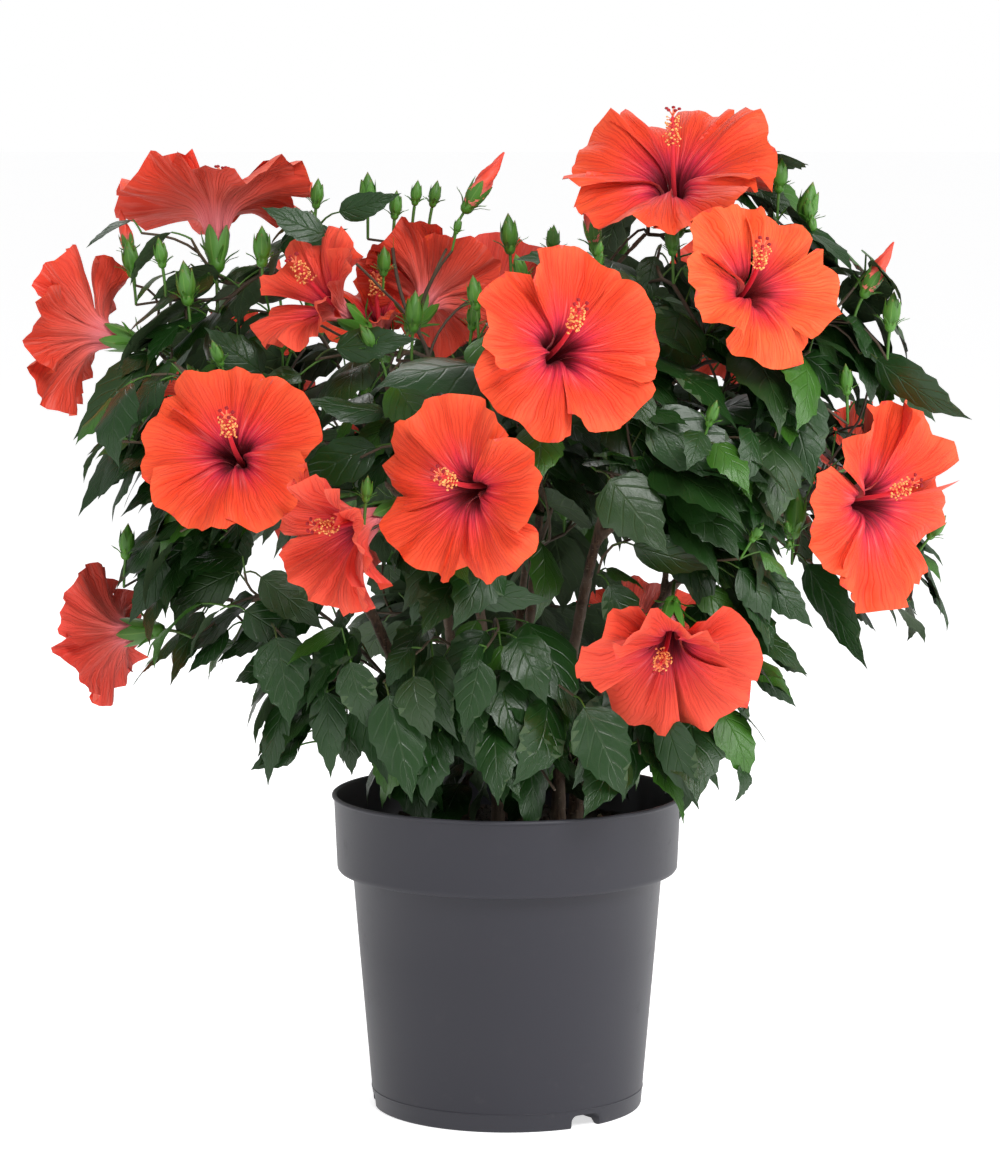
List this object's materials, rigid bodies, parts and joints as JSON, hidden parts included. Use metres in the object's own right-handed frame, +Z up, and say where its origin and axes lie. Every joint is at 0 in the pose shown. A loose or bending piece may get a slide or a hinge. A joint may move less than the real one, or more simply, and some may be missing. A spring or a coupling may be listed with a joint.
{
  "type": "potted hibiscus shrub",
  "caption": "Bushy evergreen shrub in flower in a round tapered nursery pot: upright woody stems, forked boughs and uneven masses of glossy leaves with large open blossoms.",
  "frame": {"origin": "centre of the pot's flat underside, on the pot's axis", "axes": "+Z up along the pot's axis, +X to the right and -Y the front as one looks at the plant"},
  "size_m": [0.64, 0.496, 0.68],
  "materials": {
    "pot": "satin",
    "soil": "matte",
    "bark": "matte",
    "foliage": "satin",
    "blossom": "matte"
  },
  "bodies": {
    "root": {"pot": "pot", "root_ball": "soil", "stem_left": "bark", "stem_middle_left": "bark", "stem_middle": "bark", "stem_middle_right": "bark", "stem_front_right": "bark", "stem_right": "bark", "stem_back": "bark", "bough_far_left": "bark", "bough_top_left": "bark", "bough_left_front": "bark", "bough_left_low": "bark", "bough_foot_left": "bark", "bough_top_middle": "bark", "bough_centre_front": "bark", "bough_centre_right": "bark", "bough_top_right": "bark", "bough_right_upper": "bark", "bough_right_front": "bark", "bough_far_right": "bark", "bough_foot_right": "bark", "bough_back_top": "bark", "bough_back_left": "bark", "bough_back_right": "bark", "bough_back_middle": "bark", "bough_middle": "bark", "foliage_far_left": "foliage", "foliage_top_left": "foliage", "foliage_left_front": "foliage", "foliage_left_low": "foliage", "foliage_foot_left": "foliage", "foliage_top_middle": "foliage", "foliage_centre_front": "foliage", "foliage_centre_right": "foliage", "foliage_foot_front": "foliage", "foliage_top_right": "foliage", "foliage_right_upper": "foliage", "foliage_right_front": "foliage", "foliage_far_right": "foliage", "foliage_foot_right": "foliage", "foliage_back_top": "foliage", "foliage_back_left": "foliage", "foliage_back_right": "foliage", "foliage_back_middle": "foliage", "foliage_back_low": "foliage", "foliage_middle": "foliage"}
  },
  "joints": []
}
